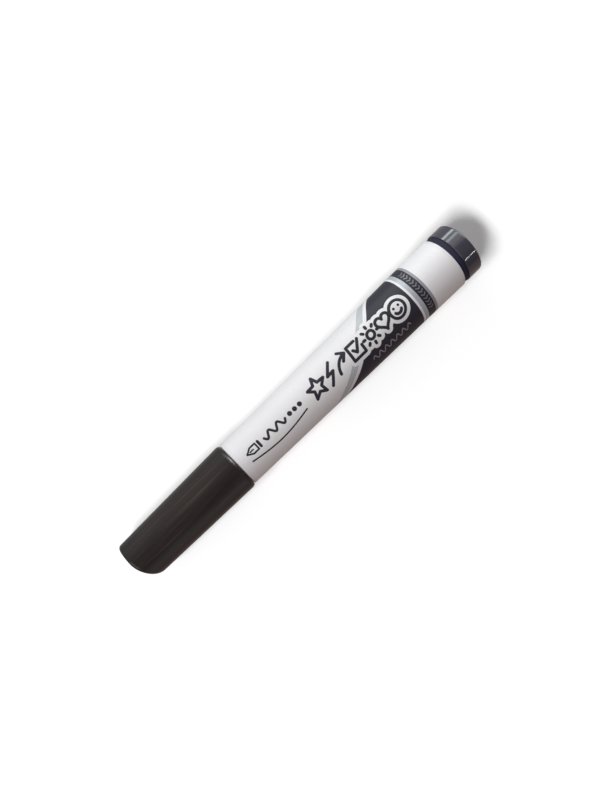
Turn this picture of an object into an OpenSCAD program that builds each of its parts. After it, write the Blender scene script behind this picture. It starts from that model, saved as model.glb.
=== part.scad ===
// Refillable whiteboard marker with its cap on, lying on its side.
// The marker's axis runs along X, with the cap at -X and the tail plug at +X.
// The origin is under the middle of the marker, on the surface that it lies on.

/* [Barrel] */
// Length of barrel that shows between the cap and the tail
barrel_len = 88.5; // [84:0.5:96]
// Diameter of the barrel next to the cap
barrel_front_d = 15; // [14.6:0.1:15.1]
// Diameter of the barrel at its tail end
barrel_rear_d = 18; // [17.6:0.1:18.6]
// Thickness of the printed film round the barrel
film_t = 0.12; // [0.1:0.01:0.2]
// Number of ribs inside the barrel that centre the reservoir
barrel_ribs = 6; // [4:1:8]

/* [Cap] */
// Length of the cap
cap_len = 41; // [38:0.2:46]
// Diameter of the cap at its open rim
cap_rim_d = 16; // [15.9:0.1:16.4]
// Diameter of the cap at its closed end
cap_end_d = 14; // [13.8:0.1:14.6]
// Wall thickness of the cap
cap_wall = 1.25; // [1.1:0.05:1.25]
// Radius of the slanting sweep across one side of the closed end
cap_sweep_r = 12; // [11.5:0.5:16]

/* [Tail] */
// Length that the tail plug and its seal add behind the barrel
tail_len = 7.4; // [6.5:0.1:9]
// Diameter of the glossy head of the plug
head_d = 17.9; // [17.5:0.1:18]
// Thickness of the seal ring between the barrel and the head
seal_t = 1.95; // [1.5:0.05:2.4]
// Diameter of the seal ring
seal_d = 17.3; // [16.8:0.1:17.4]
// Length of the plug's skirt inside the barrel
skirt_len = 10; // [7:0.5:12]

/* [Writing end] */
// Diameter of the nib
nib_d = 5; // [4.5:0.1:5.2]
// How far the nib stands out of its holder
nib_show = 5.8; // [4:0.1:7]
// Number of air slots beside the nib
vent_slots = 3; // [2:1:4]

/* [Ink reservoir] */
// Diameter of the fibre core
core_d = 11.7; // [11.2:0.1:11.8]
// Length of the fibre core
core_len = 74.5; // [60:0.5:75]
// Depth that the nib is pushed into the core
nib_in_core = 8; // [5:0.5:12]

/* [Hidden] */
$fn = 96;

// Clearance between sliding pieces, and the seams where they meet end to end
run_gap = 0.05;
seam = 0.1;
past = 1;

// Places along the axis
total_len = cap_len + seam + barrel_len + tail_len;
x_cap_end = -total_len / 2;
x_front = x_cap_end + cap_len + seam;
x_rear = x_front + barrel_len;

// Barrel
front_r = barrel_front_d / 2;
rear_r = barrel_rear_d / 2;
holder_grip = 10;
bore_front_r = front_r - 1.1;
bore_rear_r = rear_r - 1.2;
bore_cone_end = barrel_len - skirt_len - 2;
front_edge = 0.3;
rear_edge = 0.3;
film_start = 1.2;
film_end = barrel_len - film_start;
rib_t = 0.8;
rib_from = 11;
rib_to = 58;
rib_root = 0.1;

// Reservoir
core_r = core_d / 2;
wrap_t = 0.1;
wrap_r = core_r + wrap_t;

// Nib holder, measured forward from the front face of the barrel
nib_r = nib_d / 2;
flange_t = 1;
flange_gap = 0.1;
neck_r = bore_front_r - 0.2;
neck_len = 11.5;
bead_r = 0.5;
bead_out = 0.25;
bead_at = 4;
nose_r = 4.05;
nose_start = 14.5;
nose_end = 20.5;
holder_len = 23;
tip_wall = 0.8;
holder_wall = 1.1;
grip_start = 12;
funnel_len = 3;
slot_w = 0.7;
slot_depth = 0.6;

// Tail plug, measured back from the rear face of the barrel
head_r = head_d / 2;
seal_r = seal_d / 2;
skirt_r = bore_rear_r - run_gap;
skirt_wall = 1.1;
skirt_edge = 0.4;
plug_neck_r = skirt_r - 0.2;
head_start = seam + seal_t;
head_wall = 1.6;
head_rear_edge = 0.65;
head_front_edge = 0.2;
ring_bead_r = 0.4;
ring_bead_out = 0.03;
ring_beads_at = [0.3, 0.7] * skirt_len;

// Cap, measured from its closed end
cap_rim_r = cap_rim_d / 2;
cap_end_r = cap_end_d / 2;
cap_floor = 1.6;
cap_end_edge = 1;
cap_rim_edge = 0.8;
cap_sweep_y = 1.5;
cap_ribs = 6;
cap_rib_t = 0.9;
cap_rib_from = 4.6;
cap_rib_to = 20;
flange_r = cap_rim_r - cap_wall - flange_gap;
liner_wall = 0.8;
liner_floor = 1;
liner_from = 4;
liner_grip = 3;
liner_len = cap_len + seam - nose_end + liner_grip - liner_from;
liner_in_r = nose_r + run_gap;
liner_out_r = liner_in_r + liner_wall;
liner_mouth = 0.4;

// Radius of the barrel's outside at a distance from its front face
function barrel_r(u) = front_r + (rear_r - front_r) * u / barrel_len;
// Radius of the barrel's bore at a distance from its front face, where it widens
function bore_r(u) =
    bore_front_r + (bore_rear_r - bore_front_r) * (u - holder_grip) / (bore_cone_end - holder_grip);
// Radius of the cap's outside at a distance from its closed end
function cap_r(q) = cap_end_r + (cap_rim_r - cap_end_r) * q / cap_len;

// Height of the axis: the widest part of the marker touches the surface
axis_z = max(barrel_r(barrel_len - rear_edge), head_r);

// Stands children, drawn up their own Z axis, on the marker's axis and pointing to the tail
module on_axis(x) {
    translate([x, 0, axis_z]) rotate([0, 90, 0]) children();
}

// The same, pointing to the cap
module on_axis_forward(x) {
    translate([x, 0, axis_z]) rotate([0, -90, 0]) children();
}

// What comes off a square outer corner of a turned profile to leave a round edge.
// The corner is at [r, h], and side is 1 at the top of a profile and -1 at its foot.
module round_off(r, h, edge, side) {
    difference() {
        translate([r - edge, side > 0 ? h - edge : h - past]) square([edge + past, edge + past]);
        translate([r - edge, h - side * edge]) circle(r = edge);
    }
}

// A flat rib drawn as a [radius, height] outline and repeated round the axis
module rib_ring(count, thick) {
    for (i = [0 : count - 1])
        rotate([0, 0, i * 360 / count]) rotate([90, 0, 0])
            linear_extrude(height = thick, center = true) children();
}

module barrel() {
    color("white") on_axis(x_front) {
        rotate_extrude() difference() {
            polygon([
                [bore_front_r, 0],
                [front_r - front_edge, 0],
                [barrel_r(front_edge), front_edge],
                [barrel_r(film_start), film_start],
                [barrel_r(film_start) - film_t, film_start],
                [barrel_r(film_end) - film_t, film_end],
                [barrel_r(film_end), film_end],
                [rear_r, barrel_len],
                [bore_rear_r, barrel_len],
                [bore_rear_r, bore_cone_end],
                [bore_front_r, holder_grip]
            ]);
            round_off(rear_r, barrel_len, rear_edge, 1);
        }
        // Each rib is rooted in the wall and reaches the reservoir
        rib_ring(barrel_ribs, rib_t) polygon([
            [wrap_r, rib_from],
            [bore_r(rib_from) + rib_root, rib_from],
            [bore_r(rib_to) + rib_root, rib_to],
            [wrap_r, rib_to]
        ]);
    }
}

module label_film() {
    color("whitesmoke") on_axis(x_front) rotate_extrude() polygon([
        [barrel_r(film_start) - film_t, film_start],
        [barrel_r(film_start), film_start],
        [barrel_r(film_end), film_end],
        [barrel_r(film_end) - film_t, film_end]
    ]);
}

module nib_holder() {
    color("gainsboro") on_axis_forward(x_front) difference() {
        rotate_extrude() {
            polygon([
                [0, -holder_grip],
                [bore_front_r, -holder_grip],
                [bore_front_r, 0],
                [flange_r, 0],
                [flange_r, flange_t],
                [neck_r, flange_t],
                [neck_r, neck_len],
                [nose_r, nose_start],
                [nose_r, nose_end],
                [nib_r + tip_wall, holder_len],
                [0, holder_len]
            ]);
            // Snap bead that the cap clicks over
            translate([neck_r + bead_out - bead_r, bead_at]) circle(r = bead_r);
        }
        // Nib seat, the funnel behind it and the hollow towards the reservoir
        rotate_extrude() polygon([
            [0, -holder_grip - past],
            [bore_front_r - holder_wall, -holder_grip - past],
            [bore_front_r - holder_wall, grip_start - funnel_len],
            [nib_r, grip_start],
            [nib_r, holder_len + past],
            [0, holder_len + past]
        ]);
        // Air slots that run beside the nib
        rib_ring(vent_slots, slot_w) translate([nib_r / 2, grip_start - past])
            square([nib_r / 2 + slot_depth, holder_len]);
    }
}

module nib() {
    shaft_len = holder_grip + nib_in_core + holder_len + nib_show - nib_r;
    color("dimgray") on_axis_forward(x_front + holder_grip + nib_in_core) {
        cylinder(h = shaft_len, r = nib_r);
        translate([0, 0, shaft_len]) sphere(r = nib_r);
    }
}

module reservoir_core() {
    color("darkslategray") on_axis(x_front + holder_grip) difference() {
        cylinder(h = core_len, r = core_r);
        translate([0, 0, -past]) cylinder(h = nib_in_core + past, r = nib_r);
    }
}

module reservoir_wrap() {
    color("silver") on_axis(x_front + holder_grip) difference() {
        cylinder(h = core_len, r = wrap_r);
        translate([0, 0, -past]) cylinder(h = core_len + 2 * past, r = core_r);
    }
}

module tail_plug() {
    color("black") on_axis(x_rear) rotate_extrude() difference() {
        union() {
            polygon([
                [0, -skirt_len],
                [skirt_r - skirt_edge, -skirt_len],
                [skirt_r, -skirt_len + skirt_edge],
                [skirt_r, 0],
                [plug_neck_r, 0],
                [plug_neck_r, head_start],
                [head_r, head_start],
                [head_r, tail_len],
                [0, tail_len]
            ]);
            // Two beads that seal in the barrel's bore
            for (at = ring_beads_at)
                translate([skirt_r + ring_bead_out - ring_bead_r, -at]) circle(r = ring_bead_r);
        }
        round_off(head_r, tail_len, head_rear_edge, 1);
        round_off(head_r, head_start, head_front_edge, -1);
        // Hollow, open towards the reservoir
        translate([0, -skirt_len - past])
            square([skirt_r - skirt_wall, skirt_len + past + tail_len - head_wall]);
    }
}

module plug_seal() {
    color("midnightblue") on_axis(x_rear + seam) difference() {
        cylinder(h = seal_t, r = seal_r);
        translate([0, 0, -past]) cylinder(h = seal_t + 2 * past, r = plug_neck_r);
    }
}

// Outline of the cap's closed end from above. One side is square to the axis, and
// the other sweeps back in an arc. Inset moves the whole outline into the cap.
module cap_end_outline(inset) {
    side = cap_rim_d;
    translate([cap_sweep_r, cap_sweep_y]) circle(r = cap_sweep_r - inset);
    translate([inset, cap_sweep_y]) square([cap_len + past - inset, side]);
    translate([cap_sweep_r, -side]) square([cap_len + past - cap_sweep_r, 2 * side]);
}

// Trims children to the outline of the closed end
module behind_end(inset) {
    intersection() {
        on_axis(x_cap_end) children();
        translate([x_cap_end, 0, axis_z - cap_rim_d])
            linear_extrude(height = 2 * cap_rim_d) cap_end_outline(inset);
    }
}

module cap() {
    color("black") {
        difference() {
            behind_end(0) rotate_extrude() difference() {
                polygon([
                    [0, 0],
                    [cap_end_r, 0],
                    [cap_rim_r, cap_len],
                    [0, cap_len]
                ]);
                round_off(cap_end_r, 0, cap_end_edge, -1);
                round_off(cap_rim_r, cap_len, cap_rim_edge, 1);
            }
            behind_end(cap_floor) rotate_extrude() polygon([
                [0, 0],
                [cap_end_r - cap_wall, 0],
                [cap_rim_r - cap_wall, cap_len],
                [cap_rim_r - cap_wall, cap_len + past],
                [0, cap_len + past]
            ]);
        }
        // Ribs that hold the liner
        on_axis(x_cap_end) rib_ring(cap_ribs, cap_rib_t) polygon([
            [liner_out_r, cap_rib_from],
            [cap_r(cap_rib_from) - cap_wall / 2, cap_rib_from],
            [cap_r(cap_rib_to) - cap_wall / 2, cap_rib_to],
            [liner_out_r, cap_rib_to]
        ]);
    }
}

module cap_liner() {
    color("ivory") on_axis(x_cap_end + liner_from) rotate_extrude() polygon([
        [0, 0],
        [liner_out_r, 0],
        [liner_out_r, liner_len],
        [liner_in_r + liner_mouth, liner_len],
        [liner_in_r, liner_len - liner_mouth],
        [liner_in_r, liner_floor],
        [0, liner_floor]
    ]);
}

barrel();
label_film();
nib_holder();
nib();
reservoir_core();
reservoir_wrap();
tail_plug();
plug_seal();
cap();
cap_liner();
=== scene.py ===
"""Looks of a refillable whiteboard marker that lies on a pale floor with its cap on."""
import math

import bmesh
import bpy
import numpy as np
from mathutils import Matrix, Vector
from mathutils.geometry import delaunay_2d_cdt


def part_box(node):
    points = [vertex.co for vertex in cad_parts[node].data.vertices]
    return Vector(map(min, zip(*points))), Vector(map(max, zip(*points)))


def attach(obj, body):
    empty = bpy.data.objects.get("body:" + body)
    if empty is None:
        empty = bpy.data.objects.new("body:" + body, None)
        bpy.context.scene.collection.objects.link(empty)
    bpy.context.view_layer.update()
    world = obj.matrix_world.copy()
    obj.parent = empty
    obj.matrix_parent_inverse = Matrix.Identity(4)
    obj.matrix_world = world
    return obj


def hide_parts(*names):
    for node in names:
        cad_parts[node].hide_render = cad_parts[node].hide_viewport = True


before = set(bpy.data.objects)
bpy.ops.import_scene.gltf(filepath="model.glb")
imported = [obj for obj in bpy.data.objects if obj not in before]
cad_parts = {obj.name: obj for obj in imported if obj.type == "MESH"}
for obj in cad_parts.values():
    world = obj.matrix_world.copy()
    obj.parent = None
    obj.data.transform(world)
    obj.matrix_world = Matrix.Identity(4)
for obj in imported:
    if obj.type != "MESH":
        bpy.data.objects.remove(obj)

MM = 0.001
TURN_STEPS = 180
ARC_STEP = math.radians(9)
NUDGE = 1e-6

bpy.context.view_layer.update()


# ------------------------------------------------------------------ places, from the frame

AXIS_Z = (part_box("barrel")[0].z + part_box("barrel")[1].z) / 2


def along(node):
    """Where a CAD node starts and ends along the marker's axis."""
    low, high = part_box(node)
    return low.x, high.x


def radii(node, x, slack=0.02 * MM):
    """Smallest and largest radius of a CAD node's vertices at a place along the axis."""
    found = [
        math.hypot(v.co.y, v.co.z - AXIS_Z)
        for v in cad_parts[node].data.vertices
        if abs(v.co.x - x) < slack
    ]
    return min(found), max(found)


X_FRONT, X_REAR = along("barrel")
X_FILM, X_FILM_END = along("label_film")
X_CAP, X_RIM = along("cap")
X_HOLDER, X_HOLDER_END = along("nib_holder")
X_NIB, X_NIB_END = along("nib")
X_CORE, X_CORE_END = along("reservoir_core")
X_LINER, X_LINER_END = along("cap_liner")
X_SEAL, X_SEAL_END = along("plug_seal")
X_SKIRT, X_TAIL = along("tail_plug")

FILM_R = radii("label_film", X_FILM)[1]
FILM_END_R = radii("label_film", X_FILM_END)[1]
FILM_T = FILM_R - radii("label_film", X_FILM)[0]
BARREL_SLOPE = (FILM_END_R - FILM_R) / (X_FILM_END - X_FILM)
X_PRINT = X_FRONT + 0.4 * MM
NIB_R = (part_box("nib")[1].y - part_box("nib")[0].y) / 2


def barrel_r(x):
    """Outer radius of the tapered barrel."""
    return FILM_R + BARREL_SLOPE * (x - X_FILM)


# ------------------------------------------------------------------ turned shapes

def rounded(corners):
    """Turns (x, radius, arc) corners into outline points, each (x, radius, normal).

    A corner whose arc is 0 stays sharp and has no normal. The normal of a point on an arc
    points away from the arc's centre, and turn_faces() faces it outwards.
    """
    points = []
    count = len(corners)
    for i, (x, r, arc) in enumerate(corners):
        here = np.array((x, r))
        if arc == 0:
            points.append((x, r, None))
            continue
        back = np.array(corners[i - 1][:2]) - here
        ahead = np.array(corners[(i + 1) % count][:2]) - here
        back /= np.linalg.norm(back)
        ahead /= np.linalg.norm(ahead)
        half = math.acos(np.clip(back @ ahead, -1, 1)) / 2
        middle = (back + ahead) / np.linalg.norm(back + ahead)
        centre = here + middle * arc / math.sin(half)
        reach = arc / math.tan(half)
        first = math.atan2(*(here + back * reach - centre)[::-1])
        last = math.atan2(*(here + ahead * reach - centre)[::-1])
        sweep = (last - first + math.pi) % (2 * math.pi) - math.pi
        steps = max(2, math.ceil(abs(sweep) / ARC_STEP))
        for k in range(steps + 1):
            angle = first + sweep * k / steps
            out = np.array((math.cos(angle), math.sin(angle)))
            points.append((*(centre + out * arc), out))
    return points


def mesh_object(name, verts, faces, normals=None, materials=()):
    """An object from vertices and faces, with one normal for each face corner if given."""
    mesh = bpy.data.meshes.new(name)
    mesh.from_pydata(verts, [], faces)
    mesh.polygons.foreach_set("use_smooth", [True] * len(faces))
    for material in materials:
        mesh.materials.append(material)
    if normals is not None:
        mesh.normals_split_custom_set(normals)
    mesh.update()
    obj = bpy.data.objects.new(name, mesh)
    bpy.context.scene.collection.objects.link(obj)
    return obj


def on_circle(x, r, angle):
    """A point on a circle round the marker's axis. Angle 0 is on top, and it grows towards -Y."""
    return (x, -r * math.sin(angle), AXIS_Z + r * math.cos(angle))


def turn_faces(points, steps=TURN_STEPS, hollow=False):
    """Vertices, faces and corner normals of an outline turned about the axis.

    A hollow outline is left open, and it bounds the space inside it.
    """
    outline = np.array([p[:2] for p in points])
    after = np.roll(outline, -1, axis=0)
    area = np.sum(outline[:, 0] * after[:, 1] - after[:, 0] * outline[:, 1])
    side = -1 if (area > 0) != hollow else 1
    verts, rings = [], []
    for x, r, _ in points:
        on_axis = r < NUDGE
        rings.append((len(verts), on_axis))
        verts += [(x, 0, AXIS_Z)] if on_axis else \
            [on_circle(x, r, 2 * math.pi * k / steps) for k in range(steps)]
    faces, normals = [], []
    spans = range(len(points) - hollow)
    for i in spans:
        j = (i + 1) % len(points)
        (a, a_pole), (b, b_pole) = rings[i], rings[j]
        if a_pole and b_pole:
            continue
        run = outline[j] - outline[i]
        flat = np.array((-run[1], run[0])) * side / max(np.linalg.norm(run), NUDGE * MM)
        ends = []
        for point in (points[i], points[j]):
            out = flat if point[2] is None else point[2]
            ends.append(out if out @ flat > 0 else -out)
        for k in range(steps):
            m = (k + 1) % steps
            corners = [(a + k * (not a_pole), ends[0], k)]
            if not a_pole:
                corners.append((a + m, ends[0], k + 1))
            corners.append((b + m * (not b_pole), ends[1], k + 1))
            if not b_pole:
                corners.append((b + k, ends[1], k))
            if side < 0:
                corners.reverse()
            faces.append([c[0] for c in corners])
            for _, out, step in corners:
                angle = 2 * math.pi * step / steps
                normals.append((out[0], -out[1] * math.sin(angle), out[1] * math.cos(angle)))
    return verts, faces, normals


def turned(name, corners, material, steps=TURN_STEPS):
    """A closed solid turned about the marker's axis from (x, radius, arc) corners."""
    return mesh_object(name, *turn_faces(rounded(corners), steps), [material])


def joined(name, shells, material):
    """One object of several (vertices, faces, normals) shells."""
    verts, faces, normals = [], [], []
    for shell_verts, shell_faces, shell_normals in shells:
        first = len(verts)
        verts += shell_verts
        faces += [[first + v for v in face] for face in shell_faces]
        normals += shell_normals
    return mesh_object(name, verts, faces, normals, [material])


def rib_shell(outline, thick, angle):
    """A flat plate that stands on the axis: an (x, radius) outline, turned to an angle."""
    side = np.array((0, math.cos(angle), math.sin(angle)))
    out = np.array((0, -math.sin(angle), math.cos(angle)))
    base = np.array((0, 0, AXIS_Z))
    verts, faces, normals = [], [], []
    count = len(outline)
    for edge in (-1, 1):
        for x, r in outline:
            verts.append(tuple(base + (x, 0, 0) + out * r + side * edge * thick / 2))
    centre = np.mean(verts, axis=0)
    for face in (
        list(range(count)),
        list(range(count, 2 * count)),
        *[[i, (i + 1) % count, count + (i + 1) % count, count + i] for i in range(count)],
    ):
        corners = np.array([verts[v] for v in face])
        normal = np.cross(corners[1] - corners[0], corners[2] - corners[1])
        normal /= np.linalg.norm(normal)
        if normal @ (corners.mean(0) - centre) < 0:
            face.reverse()
            normal = -normal
        faces.append(face)
        normals += [tuple(normal)] * len(face)
    return verts, faces, normals


# ------------------------------------------------------------------ materials

def srgb(*levels):
    """Linear colour, with alpha, from 0 to 255 display levels."""
    scaled = [v / 255 for v in levels]
    return tuple(c / 12.92 if c <= 0.04045 else ((c + 0.055) / 1.055) ** 2.4 for c in scaled) + (1,)


def map_range(tree, source, *values):
    """A clamped linear ramp of a value in a node tree: from, to, result there, result there."""
    remap = tree.nodes.new("ShaderNodeMapRange")
    for socket, value in zip(("From Min", "From Max", "To Min", "To Max"), values):
        remap.inputs[socket].default_value = value
    tree.links.new(source, remap.inputs["Value"])
    return remap.outputs["Result"]


class Look:
    """A material whose base colour, roughness and bump come from a few noise layers."""

    def __init__(self, name, roughness, **sockets):
        self.material = bpy.data.materials.new(name)
        self.material.use_nodes = True
        self.tree = self.material.node_tree
        self.shader = self.tree.nodes["Principled BSDF"]
        self.place = self.tree.nodes.new("ShaderNodeTexCoord").outputs["Object"]
        self.rough = roughness
        self.bump = None
        for socket, value in sockets.items():
            self.shader.inputs[socket.replace("_", " ")].default_value = value

    def node(self, kind, **settings):
        made = self.tree.nodes.new(kind)
        for key, value in settings.items():
            setattr(made, key, value)
        return made

    def link(self, source, target):
        self.tree.links.new(source, target)

    def noise(self, size, stretch=(1, 1, 1), detail=3.0, rough=0.5):
        """Noise from 0 to 1 with features about size metres across, times stretch along X, Y, Z."""
        mapping = self.node("ShaderNodeMapping")
        mapping.inputs["Scale"].default_value = [1 / (size * s) for s in stretch]
        self.link(self.place, mapping.inputs["Vector"])
        noise = self.node("ShaderNodeTexNoise")
        noise.inputs["Scale"].default_value = 1
        noise.inputs["Detail"].default_value = detail
        noise.inputs["Roughness"].default_value = rough
        self.link(mapping.outputs["Vector"], noise.inputs["Vector"])
        return noise.outputs["Fac"]

    def ranged(self, value, low, high, to_low=0.0, to_high=1.0):
        """Maps value from low..high to to_low..to_high, clamped."""
        return map_range(self.tree, value, low, high, to_low, to_high)

    def mixed(self, factor, first, second):
        """A colour that goes from first to second. Each is a colour or another colour output."""
        mix = self.node("ShaderNodeMix", data_type="RGBA")
        self.link(factor, mix.inputs[0])
        for socket, colour in ((mix.inputs[6], first), (mix.inputs[7], second)):
            if isinstance(colour, tuple):
                socket.default_value = colour
            else:
                self.link(colour, socket)
        return mix.outputs[2]

    def add(self, first, second, weight):
        """first + weight * second."""
        sum_ = self.node("ShaderNodeMath", operation="MULTIPLY_ADD")
        self.link(second, sum_.inputs[0])
        sum_.inputs[1].default_value = weight
        self.link(first, sum_.inputs[2])
        return sum_.outputs[0]

    def colour(self, output):
        self.link(output, self.shader.inputs["Base Color"])

    def roughness(self, factor, spread):
        """Roughness that varies by spread about the look's own value."""
        self.link(self.ranged(factor, 0.3, 0.7, self.rough - spread, self.rough + spread),
                  self.shader.inputs["Roughness"])

    def relief(self, height, depth):
        """Bump of depth metres from a 0 to 1 height, over any bump set before."""
        bump = self.node("ShaderNodeBump")
        bump.inputs["Strength"].default_value = 1
        bump.inputs["Distance"].default_value = depth
        self.link(height, bump.inputs["Height"])
        if self.bump is not None:
            self.link(self.bump, bump.inputs["Normal"])
        self.bump = bump.outputs["Normal"]
        self.link(self.bump, self.shader.inputs["Normal"])


def moulded(name, dark, light, roughness, spread, grain, streaks=0.0, lines=None, **sockets):
    """Moulded plastic: tone drifts from dark to light, with fine grain and flow streaks.

    Lines is the colour of long lighter lines painted down the part: partly rubbing marks, partly
    painted highlight streaks.
    """
    look = Look(name, roughness, **sockets)
    drift = look.noise(9 * MM, (3, 1, 1))
    fine = look.noise(0.25 * MM, detail=2.0)
    scuff = look.noise(0.35 * MM, (40, 1, 1), detail=4.0)
    tone = look.mixed(look.ranged(look.add(drift, scuff, streaks), 0.35, 0.65 + streaks / 2),
                      dark, light)
    if lines is not None:
        # Long lighter lines down the part: rubbing marks that also carry painted highlight streaks
        rub_and_highlight = look.noise(0.9 * MM, (90, 1, 1), detail=4.0, rough=0.6)
        tone = look.mixed(look.ranged(rub_and_highlight, 0.56, 0.74), tone, lines)
    look.colour(tone)
    look.roughness(look.add(drift, scuff, 0.35), spread)
    look.relief(fine, grain)
    look.relief(scuff, grain * 1.5)
    return look.material


def felt(name, dark, light, fibre, depth, stretch=(30, 1, 1)):
    """Bonded fibre: long strands along the axis, with a soft sheen."""
    look = Look(name, 0.9, Sheen_Weight=0.25, Sheen_Roughness=0.5)
    strands = look.noise(fibre, stretch, detail=5.0, rough=0.7)
    patch = look.noise(2.5 * MM)
    look.colour(look.mixed(look.ranged(look.add(strands, patch, 0.5), 0.5, 1.0), dark, light))
    look.roughness(strands, 0.08)
    look.relief(strands, depth)
    return look.material


def ink(name, dark, light, roughness, **sockets):
    """Printed ink on film: a faint mottle and the film's own soft gloss."""
    look = Look(name, roughness, **sockets)
    mottle = look.noise(0.5 * MM, (2, 1, 1))
    drift = look.noise(14 * MM)
    scratch = look.noise(0.3 * MM, (60, 1, 1), detail=5.0)
    look.colour(look.mixed(look.ranged(look.add(mottle, drift, 0.6), 0.5, 1.1), dark, light))
    look.roughness(look.add(drift, scratch, 0.5), 0.05)
    look.relief(look.noise(0.8 * MM), 0.0016 * MM)
    look.relief(scratch, 0.0012 * MM)
    return look.material


BARREL_WHITE = moulded("barrel_white", srgb(225, 224, 226), srgb(232, 231, 231), 0.36, 0.05,
                       0.001 * MM, Coat_Weight=0.1, Coat_Roughness=0.2)
# The cap's lighter lines are partly rubbing marks and partly painted highlight streaks
CAP_BLACK = moulded("cap_black", srgb(38, 33, 32), srgb(45, 40, 38), 0.27, 0.06, 0.002 * MM,
                    streaks=0.3, lines=srgb(66, 57, 50), Specular_IOR_Level=0.28)
PLUG_BLACK = moulded("plug_black", srgb(66, 65, 74), srgb(71, 70, 79), 0.05, 0.012,
                     0.0001 * MM, Coat_Weight=0.3, Coat_Roughness=0.03)
SEAL_RUBBER = moulded("seal_rubber", srgb(35, 34, 56), srgb(42, 41, 64), 0.7, 0.06, 0.004 * MM,
                      Specular_IOR_Level=0.3)
HOLDER_GREY = moulded("holder_grey", srgb(196, 197, 198), srgb(210, 210, 210), 0.4, 0.06,
                      0.0015 * MM)
LINER_IVORY = moulded("liner_ivory", srgb(222, 219, 208), srgb(232, 230, 220), 0.45, 0.06,
                      0.002 * MM, Subsurface_Weight=0.1)
WRAP_FILM = moulded("wrap_film", srgb(176, 180, 184), srgb(196, 199, 202), 0.2, 0.05,
                    0.004 * MM, streaks=0.3)
NIB_FELT = felt("nib_felt", srgb(16, 16, 18), srgb(46, 45, 48), 0.07 * MM, 0.03 * MM)
CORE_FIBRE = felt("core_fibre", srgb(14, 14, 20), srgb(58, 58, 72), 0.12 * MM, 0.08 * MM,
                  (6, 1, 1))

FILM_WHITE = ink("film_white", srgb(228, 227, 228), srgb(234, 233, 233), 0.4, Coat_Weight=0.1,
                 Coat_Roughness=0.3)
FILM_DARK = ink("film_dark", srgb(43, 42, 51), srgb(51, 50, 60), 0.42, Specular_IOR_Level=0.3)
FILM_GREY = ink("film_grey", srgb(182, 186, 189), srgb(190, 194, 197), 0.34)
FILM_SILVER = ink("film_silver", srgb(174, 178, 185), srgb(186, 190, 197), 0.36, Metallic=0.15)
FILM_STEEL = ink("film_steel", srgb(144, 144, 149), srgb(154, 154, 159), 0.34)
FILM_MARK = ink("film_mark", srgb(128, 126, 132), srgb(142, 140, 146), 0.34)
INKS = [FILM_WHITE, FILM_DARK, FILM_GREY, FILM_SILVER, FILM_STEEL, FILM_MARK]
WHITE, DARK, GREY, SILVER, STEEL, MARK = range(len(INKS))


# ------------------------------------------------------------------ the print
#
# The print is laid out in millimetres on the unrolled barrel: u runs towards the tail, from
# close to the cap's rim, and a runs round the barrel from the top line towards -Y. A field is
# negative inside a printed shape and about the distance to its edge outside.

def stroke(points, width):
    """Field of a round-ended line through points."""
    def field(u, a):
        nearest = np.full(u.shape, np.inf)
        for (u0, a0), (u1, a1) in zip(points, points[1:]):
            du, da = u1 - u0, a1 - a0
            t = np.clip(((u - u0) * du + (a - a0) * da) / (du * du + da * da), 0, 1)
            nearest = np.minimum(nearest, np.hypot(u - u0 - t * du, a - a0 - t * da))
        return nearest - width / 2
    return field


def disc(u0, a0, radius):
    """Field of a filled circle."""
    return lambda u, a: np.hypot(u - u0, a - a0) - radius


def band(u0, u1):
    """Field of a ring right round the barrel."""
    return lambda u, a: np.maximum(u0 - u, u - u1)


def either(*fields):
    """Field of everything that is inside any of the fields."""
    return lambda u, a: np.min([f(u, a) for f in fields], axis=0)


def wider(field, by):
    """A field grown outwards."""
    return lambda u, a: field(u, a) - by


def arc(radius, first, last, u0=0.0, a0=0.0, steps=24):
    """Points on an arc about (u0, a0), from one angle in degrees to another."""
    angles = [math.radians(first + (last - first) * k / steps) for k in range(steps + 1)]
    return [(u0 + radius * math.cos(t), a0 + radius * math.sin(t)) for t in angles]


def sketch(points, u0, a0, lean=0.1):
    """Moves a drawing to (u0, a0). Its own Y points up, as a reader sees it."""
    return [(u0 + x + lean * y, a0 - y) for x, y in points]


def wave_points(length, height, turns, steps=12):
    """A wavy line that starts at (0, 0)."""
    count = int(turns * steps)
    return [(length * k / count, height * math.sin(2 * math.pi * turns * k / count))
            for k in range(count + 1)]


def star_points():
    """Outline of a five-pointed star."""
    return [(r * math.sin(t), r * math.cos(t))
            for r, t in (((3.3, 1.45)[k % 2], math.pi * k / 5) for k in range(11))]


def heart_points():
    """Outline of a heart."""
    turns = [2 * math.pi * k / 36 for k in range(37)]
    return [(2.5 * math.sin(t) ** 3,
             0.155 * (13 * math.cos(t) - 5 * math.cos(2 * t) - 2 * math.cos(3 * t)
                      - math.cos(4 * t)) + 0.4) for t in turns]


def doodle_lines():
    """The hand-drawn whiteboard doodles, as lines through (u, a) points."""
    bolt = [(1.5, 3.1), (-1.2, 0.0), (1.2, 0.2), (-1.3, -3.1)]
    rays = [[(r * math.sin(t), r * math.cos(t)) for r in (2.4, 3.0)]
            for t in (math.pi * k / 4 for k in range(8))]
    return [
        sketch(star_points(), 31.6, 0.1),
        sketch(bolt, 37.1, 0.0),
        sketch(arc(4.4, 175, 95, 2.2, -2.6), 41.9, 0.1),
        sketch([(0.3, 3.3), (2.2, 1.8), (0.6, 0.1)], 41.9, 0.1),
        sketch([(0.9, 2.3), (-2.3, 2.3), (-2.3, -2.5), (2.3, -2.5), (2.3, -0.2)], 47.6, 0.0),
        sketch([(-1.0, 0.3), (-0.1, -0.9), (2.2, 2.2)], 47.6, 0.0),
        sketch(arc(1.25, 0, 360), 53.8, 0.0),
        *[sketch(ray, 53.8, 0.0) for ray in rays],
        sketch(heart_points(), 59.2, 0.1),
        sketch(arc(2.7, 0, 360), 64.9, 0.0),
        sketch(arc(1.35, -150, -30), 64.9, 0.0),
    ]


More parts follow.
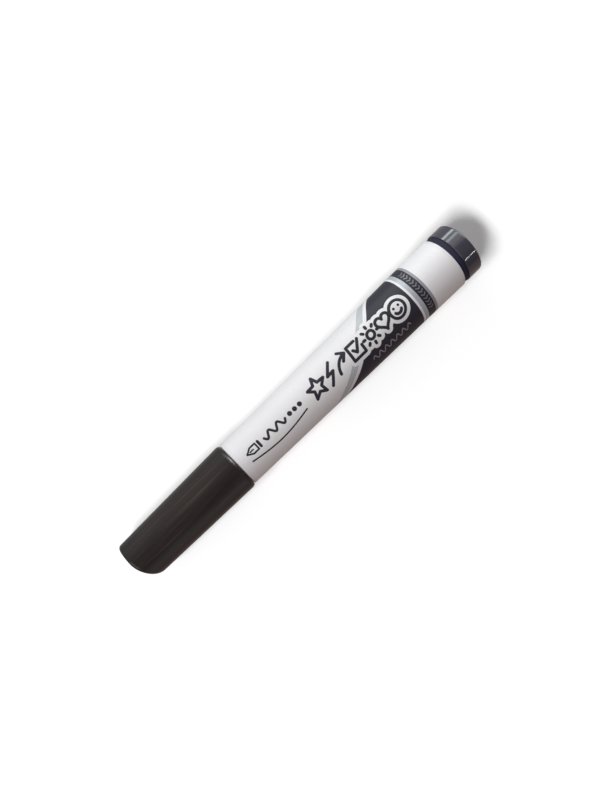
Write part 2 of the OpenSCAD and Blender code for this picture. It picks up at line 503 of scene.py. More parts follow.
STROKE_W = 0.95
HALO_W = 1.05
SMILEY_EYES = [disc(u, a, 0.42) for u, a in sketch([(-0.95, 0.75), (0.95, 0.75)], 64.9, 0.0)]
DOODLES = either(*[stroke(line, STROKE_W) for line in doodle_lines()], *SMILEY_EYES)

# Left edge of the dark panel round the barrel: (a, u) points of a smooth closed curve
PANEL_EDGE = [(-18, 65.6), (-13, 63.2), (-10.5, 61.4), (-8, 59.5), (-4.9, 56.9), (-0.5, 52.4),
              (4.2, 47), (6.4, 44.2), (9.5, 40.1), (13, 36.2), (16.5, 34.4), (20, 38.0),
              (23.5, 49.0), (27.5, 60.0), (31, 65.0)]
PANEL_END = 70.2
SWOOSH_GAP = 1.15
SWOOSH_W = 2.15


def smooth_through(points, period):
    """A periodic function that passes smoothly through (a, u) points."""
    a = np.array([p[0] for p in points], float)
    u = np.array([p[1] for p in points], float)
    a3 = np.concatenate([a - period, a, a + period])
    u3 = np.concatenate([u, u, u])
    slope = np.gradient(u3, a3)

    def curve(at):
        at = a[0] + np.mod(at - a[0], period)
        i = np.clip(np.searchsorted(a3, at, side="right") - 1, 0, len(a3) - 2)
        h = a3[i + 1] - a3[i]
        t = (at - a3[i]) / h
        return ((2 * t**3 - 3 * t**2 + 1) * u3[i] + (t**3 - 2 * t**2 + t) * h * slope[i]
                + (3 * t**2 - 2 * t**3) * u3[i + 1] + (t**3 - t**2) * h * slope[i + 1])
    return curve


def film_r(u):
    """Film radius in millimetres at a print place."""
    return barrel_r(X_PRINT + u * MM) / MM


PANEL_R = film_r(52.0)
panel_curve = smooth_through(PANEL_EDGE, 2 * math.pi * PANEL_R)


def panel_distance(u, a):
    """About how far (u, a) lies on the tail side of the panel's left edge."""
    at = a * PANEL_R / film_r(u)
    slope = (panel_curve(at + 0.05) - panel_curve(at - 0.05)) / 0.1
    return (u - panel_curve(at)) / np.sqrt(1 + slope * slope)


def panel_field(u, a):
    return np.maximum(-panel_distance(u, a), u - PANEL_END)


def swoosh_field(u, a):
    """The grey band that runs beside the panel's left edge."""
    back = -panel_distance(u, a)
    return np.maximum(SWOOSH_GAP - back, back - SWOOSH_GAP - SWOOSH_W)


def placed_at_back(field):
    """Places a field, drawn about a = 0, at the back of the barrel."""
    def placed(u, a):
        half = math.pi * film_r(u)
        return field(u, np.where(a > 0, a - half, a + half))
    return placed


def back_lines():
    """Care pictograms and plain rules on the side away from the reader."""
    square = [(-2.4, -2.4), (-2.4, 2.4), (2.4, 2.4), (2.4, -2.4), (-2.4, -2.4)]
    rule_ends = (25, 25, 25, 21.5)
    return either(
        *[stroke(sketch(square, 8 + 7.5 * k, 0, lean=0), 0.3) for k in range(3)],
        stroke([(6.6, 0), (9.4, 0)], 0.9),
        disc(15.5, 0.6, 0.85),
        stroke([(15.5, 0.2), (15.5, -1.3)], 0.5),
        stroke([(21.7, -1.2), (24.3, 1.2)], 0.4),
        stroke([(21.7, 1.2), (24.3, -1.2)], 0.4),
        *[stroke([(5.8, 4.4 + 1.5 * k), (end, 4.4 + 1.5 * k)], 0.28)
          for k, end in enumerate(rule_ends)],
    )


def ring_ticks():
    """Thin grey chevrons along the dark ring near the tail."""
    return either(*[stroke([(73.1, a - 0.3), (73.85, a + 0.3), (74.6, a - 0.3)], 0.26)
                    for a in np.arange(-7.6, 8, 1.25)])


def maker_sign():
    """Plain pictograms near the cap: a nib, a wavy sample line, three dots and a curved rule."""
    nib_icon = [(3.4, 0.0), (5.2, -1.05), (7.2, -1.05), (7.2, 1.05), (5.2, 1.05), (3.4, 0.0)]
    return either(
        stroke(nib_icon, 0.55),
        stroke([(4.6, 0.0), (5.8, 0.0)], 0.45),
        stroke([(8.2, -0.9), (8.2, 0.9)], 0.85),
        stroke([(u + 10.2, a - 0.1) for u, a in wave_points(8.4, 0.95, 2.5)], 0.75),
        *[disc(20.5 + 2.0 * k, -0.1, 0.75) for k in range(3)],
        stroke([(3.4 + 21.8 * k / 20, 2.5 + 1.3 * math.sin(math.pi * k / 20))
                for k in range(21)], 0.5),
    )


class Print:
    """One layer of the print: its ink, its field, where it lies, and how finely it is traced."""

    def __init__(self, ink_index, field, window=None, step=0.1):
        self.ink, self.field, self.window, self.step = ink_index, field, window, step


PRINTS = [
    Print(GREY, swoosh_field, step=0.3),
    Print(DARK, panel_field, step=0.3),
    Print(WHITE, wider(DOODLES, HALO_W), (26, 69.9, -5.5, 5.2), 0.14),
    Print(DARK, DOODLES, (26, 69, -4.5, 4.5)),
    Print(MARK, stroke(sketch(wave_points(15.4, 0.85, 6.5), 50.0, 6.6, lean=0), 0.42),
          (49, 67, 5.2, 8)),
    Print(DARK, maker_sign(), (2, 26, -3.5, 4.6)),
    Print(SILVER, band(70.95, 72.35), step=0.4),
    Print(DARK, band(72.35, 75.2), step=0.4),
    Print(MARK, ring_ticks(), (72.6, 75.1, -8.5, 8)),
    Print(STEEL, band(75.2, 76.1), step=0.4),
    Print(DARK, placed_at_back(back_lines()), "back"),
]
BACK_WINDOW = (4, 27.5, -3.5, 10)
FILM_COLUMNS = 150
FILM_ANGLES = [-math.pi + 2 * math.pi * k / FILM_COLUMNS for k in range(FILM_COLUMNS + 1)]
FILM_ROW = 2.2
PLAN_SQUEEZE = 0.35


def traced(layer):
    """Points (u, angle) and edges along the line where a layer's field is zero."""
    if layer.window is None:
        u0, u1, p0, p1 = U_FILM, U_FILM_END, -math.pi, math.pi
    else:
        back = layer.window == "back"
        u0, u1, a0, a1 = BACK_WINDOW if back else layer.window
        p0, p1 = (a / film_r(u0) - math.pi * back for a in (a0, a1))
    middle = film_r((u0 + u1) / 2)
    us = np.linspace(u0, u1, max(2, round((u1 - u0) / layer.step)) + 1)
    ps = np.linspace(p0, p1, max(2, round((p1 - p0) * middle / layer.step)) + 1)
    grid_u, grid_p = np.meshgrid(us, ps, indexing="ij")
    value = layer.field(grid_u, grid_p * film_r(grid_u))
    inside = value < 0
    points, index, edges = [], {}, []

    def crossing(i, j, k, m):
        key = (i, j, k, m)
        if key not in index:
            t = value[i, j] / (value[i, j] - value[k, m])
            index[key] = len(points)
            points.append((us[i] + t * (us[k] - us[i]), ps[j] + t * (ps[m] - ps[j])))
        return index[key]

    mixed = inside[:-1, :-1].astype(int) + inside[1:, :-1] + inside[:-1, 1:] + inside[1:, 1:]
    for i, j in zip(*np.nonzero((mixed > 0) & (mixed < 4))):
        cuts = []
        for start, end in (((i, j), (i + 1, j)), ((i + 1, j), (i + 1, j + 1)),
                           ((i, j + 1), (i + 1, j + 1)), ((i, j), (i, j + 1))):
            if inside[start] != inside[end]:
                cuts.append(crossing(*start, *end))
        if len(cuts) == 2:
            edges.append(tuple(cuts))
        elif inside[i, j] == (value[i:i + 2, j:j + 2].mean() < 0):
            edges += [(cuts[0], cuts[1]), (cuts[2], cuts[3])]
        else:
            edges += [(cuts[0], cuts[3]), (cuts[1], cuts[2])]
    return points, edges


U_FILM = (X_FILM - X_PRINT) / MM
U_FILM_END = (X_FILM_END - X_PRINT) / MM


def film_plan():
    """The unrolled film, cut along the edges of the print: each point's u and angle, and faces.

    Known fault: the back print's points past the seam at -pi aren't carried round to +pi, so
    their faces lie on top of the strip there.
    """
    squeeze_r = film_r(U_FILM_END / 2)
    rows = max(2, round((U_FILM_END - U_FILM) / FILM_ROW))
    lattice_u = [U_FILM + (U_FILM_END - U_FILM) * k / rows for k in range(rows + 1)]
    points = [(u, p) for u in lattice_u for p in FILM_ANGLES]
    edges = []
    across = FILM_COLUMNS + 1
    for row in (0, rows):
        edges += [(row * across + k, row * across + k + 1) for k in range(FILM_COLUMNS)]
    for column in (0, FILM_COLUMNS):
        edges += [(k * across + column, (k + 1) * across + column) for k in range(rows)]
    for layer in PRINTS:
        found, lines = traced(layer)
        first = len(points)
        points += found
        edges += [(first + a, first + b) for a, b in lines]
    plan = [Vector((u * PLAN_SQUEEZE, p * squeeze_r)) for u, p in points]
    plan, _, faces, *_ = delaunay_2d_cdt(plan, edges, [], 1, 1e-5, False)
    u = np.array([v.x for v in plan]) / PLAN_SQUEEZE
    p = np.array([v.y for v in plan]) / squeeze_r
    return u, p, [list(f) for f in faces]


def inks_on_top(u, p, faces):
    """The ink of each face: that of the last layer whose print covers the face's centre."""
    mid_u = np.array([np.mean(u[f]) for f in faces])
    mid_a = np.array([np.mean(p[f]) for f in faces]) * film_r(mid_u)
    kind = np.zeros(len(faces), int)
    for layer in PRINTS:
        hit = layer.field(mid_u, mid_a) < 0
        if layer.window not in (None, "back"):
            u0, u1, a0, a1 = layer.window
            hit &= (mid_u > u0) & (mid_u < u1) & (mid_a > a0) & (mid_a < a1)
        kind[hit] = layer.ink
    return kind


def printed_film():
    """The film as a sleeve: the plan rolled up as its outside, two end rings and the inside."""
    u, p, faces = film_plan()
    radius = film_r(u) * MM
    x = X_PRINT + u * MM
    verts = list(zip(x, -radius * np.sin(p), AXIS_Z + radius * np.cos(p)))
    lean = math.atan(BARREL_SLOPE)

    def facing(angle, sign=1):
        """Normal of the cone at an angle round it, outwards or inwards."""
        return (-math.sin(lean) * sign, -math.sin(angle) * math.cos(lean) * sign,
                math.cos(angle) * math.cos(lean) * sign)

    shell, normals, inks = [], [], []
    for face, ink_index in zip(faces, inks_on_top(u, p, faces)):
        a, b, c = (np.array((u[i], p[i])) for i in face[:3])
        # Seen from outside, angle grows clockwise while u grows, so a face is turned round
        if (b[0] - a[0]) * (c[1] - a[1]) - (b[1] - a[1]) * (c[0] - a[0]) > 0:
            face.reverse()
        shell.append(face)
        normals += [facing(p[i]) for i in face]
        inks.append(int(ink_index))
    first = len(verts)
    for at in (U_FILM, U_FILM_END):
        for r in (film_r(at) * MM, film_r(at) * MM - FILM_T):
            verts += [on_circle(X_PRINT + at * MM, r, t) for t in FILM_ANGLES[:-1]]
    n = FILM_COLUMNS
    for k in range(n):
        m = (k + 1) % n
        outer, inner, outer_end, inner_end = (first + n * s for s in range(4))
        for quad, normal in (
            ([outer + k, outer + m, inner + m, inner + k], (-1, 0, 0)),
            ([outer_end + m, outer_end + k, inner_end + k, inner_end + m], (1, 0, 0)),
        ):
            shell.append(quad)
            normals += [normal] * 4
            inks.append(WHITE)
        shell.append([inner + k, inner + m, inner_end + m, inner_end + k])
        normals += [facing(FILM_ANGLES[i], -1) for i in (k, k + 1, k + 1, k)]
        inks.append(WHITE)
    film = mesh_object("label_print", verts, shell, None, INKS)
    film.data.polygons.foreach_set("material_index", inks)
    film.data.normals_split_custom_set(normals)
    return film


# ------------------------------------------------------------------ pieces

def make_barrel():
    """White tube with a shallow seat for the film, a rounded tail rim and inner ribs."""
    bore, front_out = radii("barrel", X_FRONT)
    bore_end = radii("barrel", X_REAR)[0]
    wrap_r = radii("reservoir_wrap", X_CORE)[1]
    rib_start, rib_end = X_HOLDER_END + 1 * MM, X_FRONT + 58 * MM
    cone_end = X_SKIRT - 2 * MM
    outline = [
        (X_FRONT, bore, 0),
        (X_FRONT, front_out, 0.12 * MM),
        (X_FRONT + 0.3 * MM, barrel_r(X_FRONT + 0.3 * MM), 0.15 * MM),
        (X_FILM, FILM_R, 0.02 * MM),
        (X_FILM, FILM_R - FILM_T, 0),
        (X_FILM_END, barrel_r(X_FILM_END) - FILM_T, 0),
        (X_FILM_END, barrel_r(X_FILM_END), 0.02 * MM),
        (X_REAR, barrel_r(X_REAR), 0.3 * MM),
        (X_REAR, bore_end, 0.15 * MM),
        (cone_end, bore_end, 0),
        (X_HOLDER_END, bore, 0),
    ]
    shells = [turn_faces(rounded(outline))]
    rib = [
        (rib_start, wrap_r),
        (rib_start, bore + 0.1 * MM),
        (rib_end, barrel_r(rib_end) - 1.05 * MM),
        (rib_end, wrap_r),
    ]
    shells += [rib_shell(rib, 0.8 * MM, math.radians(60 * k)) for k in range(6)]
    barrel = joined("barrel_tube", shells, BARREL_WHITE)
    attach(barrel, "barrel")
    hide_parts("barrel")


def make_label():
    """The printed film, wrapped round the barrel."""
    label = printed_film()
    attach(label, "barrel")
    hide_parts("label_film")


# Radius of the closed end's sweep, and the side that it starts at
CAP_SWEEP_R = 12 * MM
CAP_SWEEP_Y = 1.5 * MM
# Rounding of the closed end's edge, length of the lip, and where the rays below start
CAP_END_EDGE = 1.0 * MM
CAP_LIP = 1.5 * MM
CAP_CORE = 9 * MM


def cap_field(q, r, y, end_r, slope):
    """How deep a point lies in the cap, near enough to the surface. q runs from its closed end."""
    side = (end_r + slope * q - r) / math.hypot(1, slope)
    swept = CAP_SWEEP_R - np.hypot(q - CAP_SWEEP_R, y - CAP_SWEEP_Y)
    end = np.where(y < CAP_SWEEP_Y, swept, q)
    end = np.where(q > CAP_SWEEP_R, q, end)
    edge = CAP_END_EDGE
    return edge - np.hypot(np.maximum(edge - side, 0), np.maximum(edge - end, 0))


def cap_skin(end_r, slope, length):
    """The cap's closed end and its straight side up to the lip: vertices, faces and normals."""
    # Closed end: rays from a point on the axis meet the rounded surface
    polar = np.radians(np.arange(0.75, 90.1, 0.75))
    turns = 2 * math.pi * np.arange(TURN_STEPS) / TURN_STEPS
    ray, angle = np.meshgrid(polar, turns, indexing="ij")
    near, far = np.zeros_like(ray), np.full_like(ray, 30 * MM)
    for _ in range(40):
        reach = (near + far) / 2
        q, r = CAP_CORE - reach * np.cos(ray), reach * np.sin(ray)
        inside = cap_field(q, r, -r * np.sin(angle), end_r, slope) > 0
        near, far = np.where(inside, reach, near), np.where(inside, far, reach)
    q, r = CAP_CORE - near * np.cos(ray), near * np.sin(ray)
    # Straight side up to the lip
    side_q = np.linspace(CAP_CORE, length - CAP_LIP, 12)[1:]
    q = np.vstack([q, np.repeat(side_q[:, None], TURN_STEPS, 1)])
    r = np.vstack([r, end_r + slope * np.repeat(side_q[:, None], TURN_STEPS, 1)])
    angle = np.vstack([angle, np.repeat(turns[None, :], len(side_q), 0)])

    def outward(q, r, angle):
        """Normals of the cap's skin, from how its field changes."""
        step = 2e-6
        y, z = -r * np.sin(angle), r * np.cos(angle)
        value = []
        for dq, dy, dz in ((1, 0, 0), (0, 1, 0), (0, 0, 1)):
            ends = [cap_field(q + s * step * dq,
                              np.hypot(y + s * step * dy, z + s * step * dz),
                              y + s * step * dy, end_r, slope) for s in (-1, 1)]
            value.append(ends[0] - ends[1])
        value = np.stack(value, -1)
        return value / np.linalg.norm(value, axis=-1, keepdims=True)

    skin = outward(q, r, angle)
    pole_q = CAP_SWEEP_R - math.sqrt(CAP_SWEEP_R**2 - CAP_SWEEP_Y**2)
    verts = [(X_CAP + pole_q, 0, AXIS_Z)]
    point_normals = [tuple(outward(np.array(pole_q), np.array(1e-7), np.array(0.0)))]
    faces = []
    for row in range(len(q)):
        here, before = 1 + row * TURN_STEPS, 1 + (row - 1) * TURN_STEPS
        for k in range(TURN_STEPS):
            verts.append(on_circle(X_CAP + q[row, k], r[row, k], angle[row, k]))
            point_normals.append(tuple(skin[row, k]))
            m = (k + 1) % TURN_STEPS
            back = [before + k, before + m] if row else [0]
            faces.append(back + [here + m, here + k])
    return verts, faces, [point_normals[v] for face in faces for v in face]


def make_cap():
    """Black cap: one side of its closed end sweeps back, and its open rim is a round lip."""
    end_at, lip_at = 1.0 * MM, 0.8 * MM
    near_end = radii("cap", X_CAP + end_at, 0.01 * MM)[1]
    near_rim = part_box("cap")[1].y
    rim_inner, _ = radii("cap", X_RIM)
    length = X_RIM - X_CAP
    slope = (near_rim - near_end) / (length - lip_at - end_at)
    end_r = near_end - slope * end_at
    # Lip, inner wall with a snap ring near the rim, and the floor of the hollow
    rim_r = end_r + slope * length
    floor_q, snap_q = 3.9 * MM, 35.2 * MM
    rib_q, rib_end_q = 4.6 * MM, 20 * MM

    def wall(q):
        """Radius of the cap's inner wall."""
        return rim_inner - slope * (length - q)

    inner = rounded([
        (X_RIM - CAP_LIP, end_r + slope * (length - CAP_LIP), 0),
        (X_RIM - CAP_LIP / 2, rim_r, 1.7 * MM),
        (X_RIM, rim_r - 0.5 * MM, 0.35 * MM),
        (X_RIM, wall(length), 0.12 * MM),
        (X_CAP + snap_q + 0.8 * MM, wall(snap_q), 0.3 * MM),
        (X_CAP + snap_q, wall(snap_q) - 0.12 * MM, 0.3 * MM),
        (X_CAP + snap_q - 0.8 * MM, wall(snap_q), 0.3 * MM),
        (X_CAP + floor_q, wall(floor_q), 0.6 * MM),
        (X_CAP + floor_q, 0, 0),
    ])
    liner_r = radii("cap_liner", X_LINER)[1]
    rib = [
        (X_CAP + rib_q, liner_r),
        (X_CAP + rib_q, wall(rib_q) + 0.3 * MM),
        (X_CAP + rib_end_q, wall(rib_end_q) + 0.3 * MM),
        (X_CAP + rib_end_q, liner_r),
    ]
    ribs = [rib_shell(rib, 0.9 * MM, math.radians(60 * k)) for k in range(6)]
    shells = [cap_skin(end_r, slope, length), turn_faces(inner, hollow=True), *ribs]
    cap = joined("cap_shell", shells, CAP_BLACK)
    weld(cap)
    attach(cap, "cap")
    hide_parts("cap")


def weld(obj, distance=0.5e-6):
    """Joins vertices that lie on each other and keeps the corner normals."""
    normals = [tuple(n.vector) for n in obj.data.corner_normals]
    sides = len(obj.data.loops)
    copy = bmesh.new()
    copy.from_mesh(obj.data)
    bmesh.ops.remove_doubles(copy, verts=copy.verts, dist=distance)
    copy.to_mesh(obj.data)
    copy.free()
    if len(obj.data.loops) == sides:
        obj.data.normals_split_custom_set(normals)


def make_liner():
    """Soft thimble that closes over the holder's nose."""
    floor_x, mouth_x = X_LINER + 1 * MM, X_LINER_END - 0.4 * MM
    inner = radii("cap_liner", floor_x)[0]
    mouth_r = radii("cap_liner", mouth_x)[0]
    outer = radii("cap_liner", X_LINER)[1]
    liner = turned("liner_cup", [
        (X_LINER, 0, 0),
        (X_LINER, outer, 0.4 * MM),
        (X_LINER_END, outer, 0.15 * MM),
        (X_LINER_END, inner + 0.4 * MM, 0.1 * MM),
        (mouth_x, mouth_r, 0.2 * MM),
        (floor_x, mouth_r, 0.5 * MM),
        (floor_x, 0, 0),
    ], LINER_IVORY)
    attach(liner, "cap")
    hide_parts("cap_liner")


def make_plug():
    """Glossy tail head on a hollow skirt with two sealing beads."""
    head_r = (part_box("tail_plug")[1].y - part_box("tail_plug")[0].y) / 2
    neck_r = max(radii("tail_plug", X_REAR, 0.05 * MM)[0], radii("plug_seal", X_SEAL)[0])
    skirt_r = neck_r + 0.2 * MM
    hollow_r = skirt_r - 1.1 * MM
    hollow_end = X_TAIL - 1.6 * MM
    length = X_REAR - X_SKIRT
    bead = []
    for share in (0.7, 0.3):
        at = X_REAR - length * share
        bead += [(at - 0.35 * MM, skirt_r, 0.1 * MM), (at, skirt_r + 0.045 * MM, 0.3 * MM),
                 (at + 0.35 * MM, skirt_r, 0.1 * MM)]
    plug = turned("plug_shell", [
        (X_TAIL, 0, 0),
        (X_TAIL, 0.9 * MM, 0.1 * MM),
        (X_TAIL - 0.12 * MM, 1.1 * MM, 0.1 * MM),
        (X_TAIL, 1.3 * MM, 0.1 * MM),
        (X_TAIL, head_r, 0.65 * MM),
        (X_SEAL_END, head_r, 0.2 * MM),
        (X_SEAL_END, neck_r, 0),
        (X_REAR, neck_r, 0),
        (X_REAR, skirt_r, 0.08 * MM),
        *reversed(bead),
        (X_SKIRT, skirt_r, 0.4 * MM),
        (X_SKIRT, hollow_r, 0.2 * MM),
        (hollow_end, hollow_r, 0.5 * MM),
        (hollow_end, 0, 0),
    ], PLUG_BLACK)
    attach(plug, "tail_plug")
    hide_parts("tail_plug")


def make_seal():
    """Matte ring squeezed between the barrel and the head."""
    inner, outer = radii("plug_seal", X_SEAL)
    seal = turned("seal_ring", [
        (X_SEAL, inner, 0),
        (X_SEAL, outer, 0.12 * MM),
        (X_SEAL_END, outer, 0.12 * MM),
        (X_SEAL_END, inner, 0),
    ], SEAL_RUBBER)
    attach(seal, "tail_plug")
    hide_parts("plug_seal")


# Three air slots in the nib seat: their depth, and half their width in degrees
SLOT_DEPTH = 0.5 * MM
SLOT_HALF_TURN = 8


def make_holder():
    """Nib holder: grip in the barrel, stop flange, neck with its snap bead, and nose."""
    hollow_r, back_r = radii("nib_holder", X_HOLDER_END)
    tip_r = radii("nib_holder", X_HOLDER)[1]
    flange_r = radii("nib_holder", X_FRONT - 1 * MM)[1]
    neck_r = back_r - 0.2 * MM
    nose_r = radii("nib_holder", X_FRONT - 20.5 * MM, 0.05 * MM)[1]

    def at(forward):
        """A place in front of the barrel's front edge, from millimetres."""
        return X_FRONT - forward * MM

    holder = turned("holder_body", [
        (X_HOLDER_END, hollow_r, 0.1 * MM),
        (X_HOLDER_END, back_r, 0.3 * MM),
        (at(0), back_r, 0),
        (at(0), flange_r, 0.1 * MM),
        (at(1), flange_r, 0.25 * MM),
        (at(1), neck_r, 0.2 * MM),
        (at(3.4), neck_r, 0.2 * MM),
        (at(4), neck_r + 0.3 * MM, 0.3 * MM),
        (at(4.6), neck_r, 0.2 * MM),
        (at(11.5), neck_r, 0.5 * MM),
        (at(14.5), nose_r, 0.6 * MM),
        (at(20.5), nose_r, 0.8 * MM),
        (X_HOLDER, tip_r, 0.12 * MM),
        (X_HOLDER, NIB_R, 0.1 * MM),
        (at(12), NIB_R, 0),
        (at(9), hollow_r, 0),
    ], HOLDER_GREY)
    # Air slots beside the nib
    for vertex in holder.data.vertices:
        x, y, z = vertex.co
        r = math.hypot(y, z - AXIS_Z)
        turn = math.degrees(math.atan2(y, z - AXIS_Z))
        if x < at(11.9) and r < NIB_R + 0.11 * MM and abs((turn + 60) % 120 - 60) < SLOT_HALF_TURN:
            stretch = (r + SLOT_DEPTH) / r
            vertex.co = (x, y * stretch, AXIS_Z + (z - AXIS_Z) * stretch)
    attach(holder, "barrel")
    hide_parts("nib_holder")


def make_nib():
    """Felt rod with a bullet tip."""
    nib = turned("nib_rod", [
        (X_NIB, 0, 0),
        (X_NIB, 1.15 * MM, 1.0 * MM),
        (X_NIB + 3.2 * MM, NIB_R - NUDGE, 1.8 * MM),
        (X_NIB_END, NIB_R - NUDGE, 0.2 * MM),
        (X_NIB_END, 0, 0),
    ], NIB_FELT)
    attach(nib, "barrel")
    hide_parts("nib")


def make_reservoir():
    """Fibre core with uneven cut ends, in its thin wrap."""
    core_r = radii("reservoir_core", X_CORE)[1]
    nib_r = radii("reservoir_core", X_CORE)[0]
    hole_end = X_CORE + 8 * MM
    rings = [core_r * k / 14 for k in range(1, 14)]
    core = turned("core_rod", [
        (X_CORE, nib_r, 0),
        (X_CORE, core_r - NUDGE, 0.2 * MM),
        (X_CORE_END, core_r - NUDGE, 0.35 * MM),
        *[(X_CORE_END, r, 0) for r in reversed(rings[:-1])],
        (X_CORE_END, 0, 0),
        (hole_end, 0, 0),
        (hole_end, nib_r, 0),
    ], CORE_FIBRE)
    draw = np.random.default_rng(7)
    for v in core.data.vertices:
        if v.co.x > X_CORE_END - NUDGE:
            v.co.x -= 0.12 * MM * draw.random()
    core.data.normals_split_custom_set([(0, 0, 0)] * len(core.data.loops))
    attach(core, "barrel")
    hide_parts("reservoir_core")
    inner, outer = radii("reservoir_wrap", X_CORE)
    wrap = turned("wrap_sleeve", [
        (X_CORE, inner, 0),
        (X_CORE, outer, 0.03 * MM),
        (X_CORE_END, outer, 0.03 * MM),
        (X_CORE_END, inner, 0),
    ], WRAP_FILM)
    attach(wrap, "barrel")
    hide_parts("reservoir_wrap")


# ------------------------------------------------------------------ camera, floor and lights

# The camera's place in X and Y and above the marker's axis, and its angles
CAMERA_X, CAMERA_Y, CAMERA_UP = -30.65 * MM, 0.79 * MM, 240.3 * MM
CAMERA_LEAN = math.radians(7.13)
CAMERA_ROLL = math.radians(44.3)
CAMERA_LENS = 36.4

# The floor's glow near the marker, and how far away it starts and stops growing, in metres
FLOOR_GLOW = 0.17
GLOW_NEAR, GLOW_FAR = 0.08, 0.5


def make_camera():
    """Camera above the marker. Its picture shows +X running up to the right at the roll angle."""
    data = bpy.data.cameras.new("camera")
    data.sensor_width = 36
    data.lens = CAMERA_LENS
    data.clip_start = 0.01
    camera = bpy.data.objects.new("camera", data)
    bpy.context.scene.collection.objects.link(camera)
    x_seen = Vector((math.cos(CAMERA_LEAN), 0, math.sin(CAMERA_LEAN)))
    y_seen = Vector((0, 1, 0))
    right = x_seen * math.cos(CAMERA_ROLL) - y_seen * math.sin(CAMERA_ROLL)
    up = x_seen * math.sin(CAMERA_ROLL) + y_seen * math.cos(CAMERA_ROLL)
    place = Matrix((right, up, right.cross(up))).transposed().to_4x4()
    place.translation = Vector((CAMERA_X, CAMERA_Y, AXIS_Z + CAMERA_UP))
    camera.matrix_world = place
    bpy.context.scene.camera = camera


def make_floor():
    """Pale floor. It leans a little so that the cap's rim and the barrel's tail both rest on it.

    It catches shadows but lights nothing: the world's lower half stands for its bounce. It glows
    more and more away from the marker, so that it meets the backdrop without a dark horizon.
    """
    cap_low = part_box("cap")[0].z
    x_low, x_high = X_RIM - 1 * MM, X_REAR - 0.5 * MM
    slope = cap_low / (x_high - x_low)
    size = 3.0
    corners = [(x, y, (x_high - x) * slope) for x, y in
               ((-size, -size), (size, -size), (size, size), (-size, size))]
    look = Look("floor_paint", 0.8)
    look.colour(look.mixed(look.noise(0.5), srgb(203, 203, 203), srgb(207, 207, 207)))
    look.roughness(look.noise(0.02), 0.05)
    look.shader.inputs["Emission Color"].default_value = (1, 1, 1, 1)
    away = look.node("ShaderNodeVectorMath", operation="LENGTH")
    look.link(look.place, away.inputs[0])
    look.link(look.ranged(away.outputs["Value"], GLOW_NEAR, GLOW_FAR, FLOOR_GLOW, 1),
              look.shader.inputs["Emission Strength"])
    floor = mesh_object("floor", corners, [(0, 1, 2, 3)], None, [look.material])
    seen_by_camera_only(floor)


def seen_by_camera_only(obj):
    """Keeps an object out of reflections and bounced light."""
    for kind in ("diffuse", "glossy", "transmission", "volume_scatter"):
        setattr(obj, "visible_" + kind, False)


def make_backdrop():
    """A pale dome far round everything, so that the floor has no dark horizon."""
    bpy.ops.mesh.primitive_uv_sphere_add(segments=48, ring_count=24, radius=2.9)
    dome = bpy.context.object
    dome.name = "backdrop"
    look = Look("backdrop_paint", 0.9)
    look.shader.inputs["Base Color"].default_value = (0, 0, 0, 1)
    look.shader.inputs["Emission Color"].default_value = (1, 1, 1, 1)
    look.shader.inputs["Emission Strength"].default_value = 0.98
    dome.data.materials.append(look.material)
    seen_by_camera_only(dome)
    dome.visible_shadow = False


def lamp(name, place, size, radiance, colour=(1, 1, 1), lights=None):
    """A rectangular lamp that faces the marker. It lights only one object, or all but the floor."""
    data = bpy.data.lights.new(name, "AREA")
    data.shape = "RECTANGLE"
    data.size, data.size_y = size
    data.energy = 4 * size[0] * size[1] * radiance
    data.color = colour
    obj = bpy.data.objects.new(name, data)
    bpy.context.scene.collection.objects.link(obj)
    obj.location = place
    obj.rotation_mode = "QUATERNION"
    obj.rotation_quaternion = (Vector((0, 0, AXIS_Z)) - Vector(place)).to_track_quat("-Z", "Y")
    obj.visible_camera = False
    only = bpy.data.collections.new(name + "_lights")
    only.objects.link(lights or bpy.data.objects["floor"])
    if not lights:
        only.collection_objects[0].light_linking.link_state = "EXCLUDE"
    obj.light_linking.receiver_collection = only


def around(side, elevation, distance, x):
    """A place on the marker's +Y (side 1) or -Y (side -1) side, at an elevation in degrees."""
    lift = math.radians(elevation)
    return (x, side * distance * math.cos(lift), AXIS_Z + distance * math.sin(lift))


# Bands of the window: elevations that each spans in degrees, radiance and colour
WINDOW_BANDS = [
    (9, 20, 4.2, (0.97, 0.96, 1)),
    (20, 33.5, 0.85, (0.38, 1, 0.73)),
    (33.5, 44, 2.7, (0.96, 0.98, 1)),
    (44, 52, 0.7, (0.98, 0.97, 1)),
    (52, 63, 0.48, (1, 0.98, 1)),
    (63, 76, 0.42, (1, 0.98, 1)),
]
WINDOW_AWAY, WINDOW_ALONG, WINDOW_LENGTH = 0.9, 0.5, 0.8


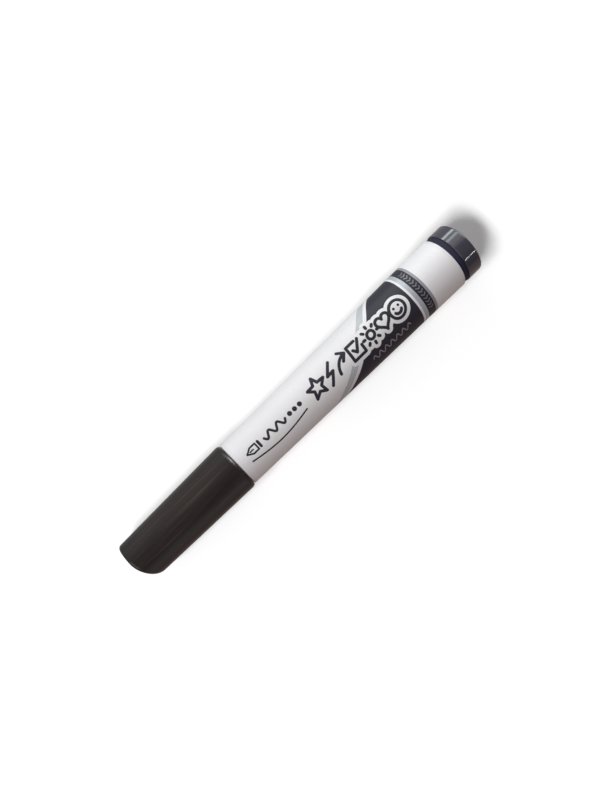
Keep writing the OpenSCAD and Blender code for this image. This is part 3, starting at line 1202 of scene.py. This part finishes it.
def make_lights():
    """A window on the +Y side in bands that fade towards the ceiling, a strip and two sparks.

    The cap has a lamp for the glint along its lip, and one that fills its -Y side. The floor has
    two lamps, which throw the marker's soft shadow past its tail.
    """
    for low, high, radiance, colour in WINDOW_BANDS:
        width = 2 * WINDOW_AWAY * math.tan(math.radians(high - low) / 2)
        lamp("window_%d" % low, around(1, (low + high) / 2, WINDOW_AWAY, WINDOW_ALONG),
             (WINDOW_LENGTH, width), radiance, colour)
    lamp("overhead", (-0.9, -0.08, 0.75), (1, 0.8), 2.35, (1, 0.96, 0.97))
    lamp("tail_side", (0.8, 0.38, 0.42), (0.5, 0.5), 3.2, (0.92, 0.95, 1))
    cap = bpy.data.objects["cap_shell"]
    lamp("lip", (0.75, 0.45, 0.45), (0.4, 0.5), 11, (0.93, 0.94, 1), lights=cap)
    bpy.data.objects["lip"].visible_diffuse = False
    lamp("cap_fill", (-0.1, -0.7, 0.16), (0.6, 0.5), 0.45, lights=cap)
    lamp("strip", around(-1, 39.7, 0.9, 0.4), (0.8, 0.022), 2.2)
    for x in (0.43, 0.44):
        lamp("spark_%d" % (x * 1000), around(-1, 38.6, 0.9, x), (0.006, 0.02), 30)
    floor = bpy.data.objects["floor"]
    lamp("shadow_key", (-2.7, -0.16, 3.06), (1.6, 0.54), 67, lights=floor)
    lamp("shadow_wide", (-2.7, -0.1, 3.06), (2.5, 0.54), 9, lights=floor)


# World light: sky overhead, towards +Y and towards -Y, and the bounce from below on both sides,
# with a colour for each side
SKY_TOP, SKY_BRIGHT, SKY_DIM = 0.05, 0.8, 0.09
BOUNCE_BRIGHT, BOUNCE_DIM = 0.42, 0.36
DIM_COLOUR = (1, 0.71, 0.65, 1)
BRIGHT_COLOUR = (1, 0.98, 1, 1)
HORIZON_SOFT = 0.08


def make_world():
    """World light that fades from the +Y side to the -Y side, and the view's colour settings."""
    world = bpy.data.worlds.new("world")
    world.use_nodes = True
    tree = world.node_tree
    link = tree.links.new
    background = tree.nodes["Background"]
    place = tree.nodes.new("ShaderNodeTexCoord")
    split = tree.nodes.new("ShaderNodeSeparateXYZ")
    link(place.outputs["Generated"], split.inputs[0])

    def ramp(axis, *values):
        """A ramp along an axis of the world."""
        return map_range(tree, split.outputs[axis], *values)

    sky = tree.nodes.new("ShaderNodeMath")
    link(ramp("Y", 0, 1, SKY_TOP, SKY_BRIGHT), sky.inputs[0])
    link(ramp("Y", -1, 0, SKY_DIM - SKY_TOP, 0), sky.inputs[1])
    horizon = ramp("Z", -HORIZON_SOFT, HORIZON_SOFT, 0, 1)
    level = tree.nodes.new("ShaderNodeMix")
    link(ramp("Y", -1, 1, BOUNCE_DIM, BOUNCE_BRIGHT), level.inputs["A"])
    link(horizon, level.inputs["Factor"])
    link(sky.outputs[0], level.inputs["B"])
    link(level.outputs["Result"], background.inputs["Strength"])
    side = tree.nodes.new("ShaderNodeMix")
    side.data_type = "RGBA"
    link(ramp("Y", -1, 0.6, 0, 1), side.inputs[0])
    side.inputs[6].default_value = DIM_COLOUR
    side.inputs[7].default_value = BRIGHT_COLOUR
    link(side.outputs[2], background.inputs["Color"])
    bpy.context.scene.world = world
    bpy.context.scene.view_settings.view_transform = "Standard"
    bpy.context.scene.view_settings.look = "None"


make_camera()
make_floor()
make_backdrop()
make_barrel()
make_label()
make_cap()
make_lights()
make_world()
make_liner()
make_plug()
make_seal()
make_holder()
make_nib()
make_reservoir()
